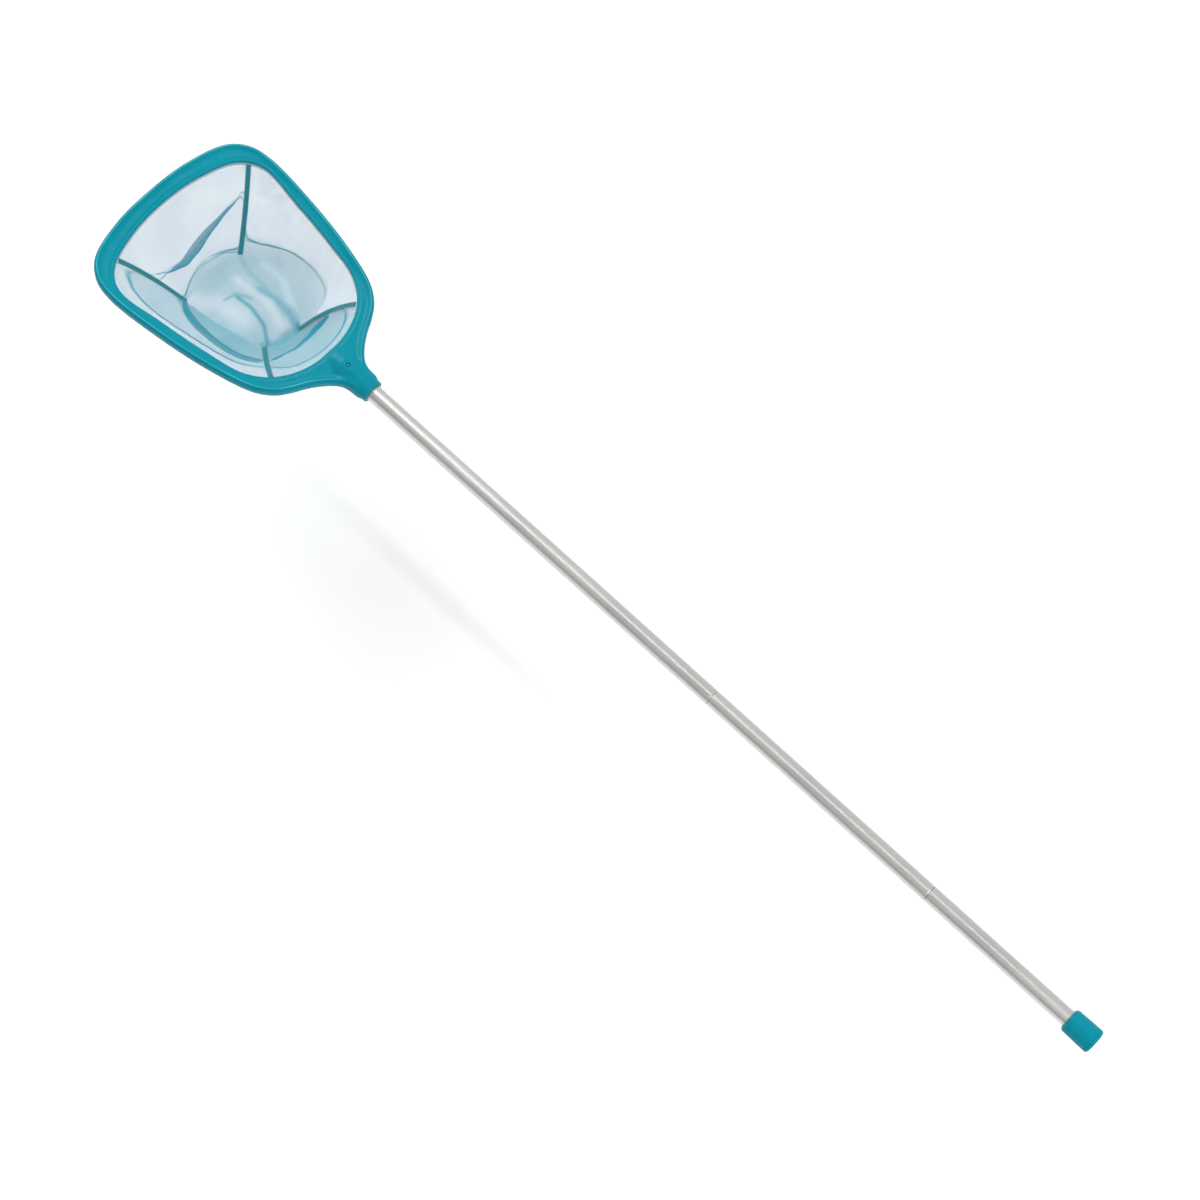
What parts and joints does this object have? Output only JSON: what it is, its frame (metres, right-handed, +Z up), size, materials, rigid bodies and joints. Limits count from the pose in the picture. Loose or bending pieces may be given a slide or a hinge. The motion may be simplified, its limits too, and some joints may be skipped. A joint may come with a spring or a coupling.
{
  "type": "leaf skimmer net",
  "caption": "Skimmer net with a moulded tapered hoop, a hanging fine-mesh bag and a sectional push-fit tube pole with an end cap.",
  "frame": {"origin": "on the pole's axis at the middle of the lower pole section, where a hand holds it", "axes": "+Y along the pole from the end cap to the net, +Z up out of the net's mouth, +X to the right"},
  "size_m": [0.2782, 1.55, 0.1024],
  "materials": {
    "teal_plastic": "moulded teal plastic, soft gloss",
    "net_mesh": "fine pale blue polyester mesh",
    "seam_tape": "woven dark teal binding tape",
    "pole_aluminium": "drawn tube, satin anodised",
    "spring_steel": "stainless spring strip"
  },
  "bodies": {
    "grip_section": {"pole_lower": "pole_aluminium", "end_cap": "teal_plastic"},
    "middle_section": {"pole_middle": "pole_aluminium"},
    "upper_section": {"pole_upper": "pole_aluminium", "snap_spring": "spring_steel"},
    "button": {"snap_button": "teal_plastic"},
    "head": {"head_frame": "teal_plastic", "net_ring": "teal_plastic", "hem_band": "net_mesh", "net_bag": "net_mesh", "seam_tape_far_left": "seam_tape", "seam_tape_far_right": "seam_tape", "seam_tape_near_right": "seam_tape", "seam_tape_near_left": "seam_tape"}
  },
  "joints": [
    {"name": "middle_section_pull", "type": "slide", "parent": "grip_section", "child": "middle_section", "axis": [0, 1, 0], "range_m": [0, 0.044]},
    {"name": "upper_section_pull", "type": "slide", "parent": "middle_section", "child": "upper_section", "axis": [0, 1, 0], "range_m": [0, 0.044]},
    {"name": "head_pull", "type": "slide", "parent": "upper_section", "child": "head", "axis": [0, 1, 0], "range_m": [0, 0.058], "deforming": ["snap_spring", "snap_button"]},
    {"name": "snap_button_press", "type": "slide", "parent": "upper_section", "child": "button", "axis": [0, 0, -1], "range_m": [0, 0.0042], "stiffness_N_per_m": 1200, "springref_m": -0.002, "deforming": ["snap_spring"]}
  ]
}
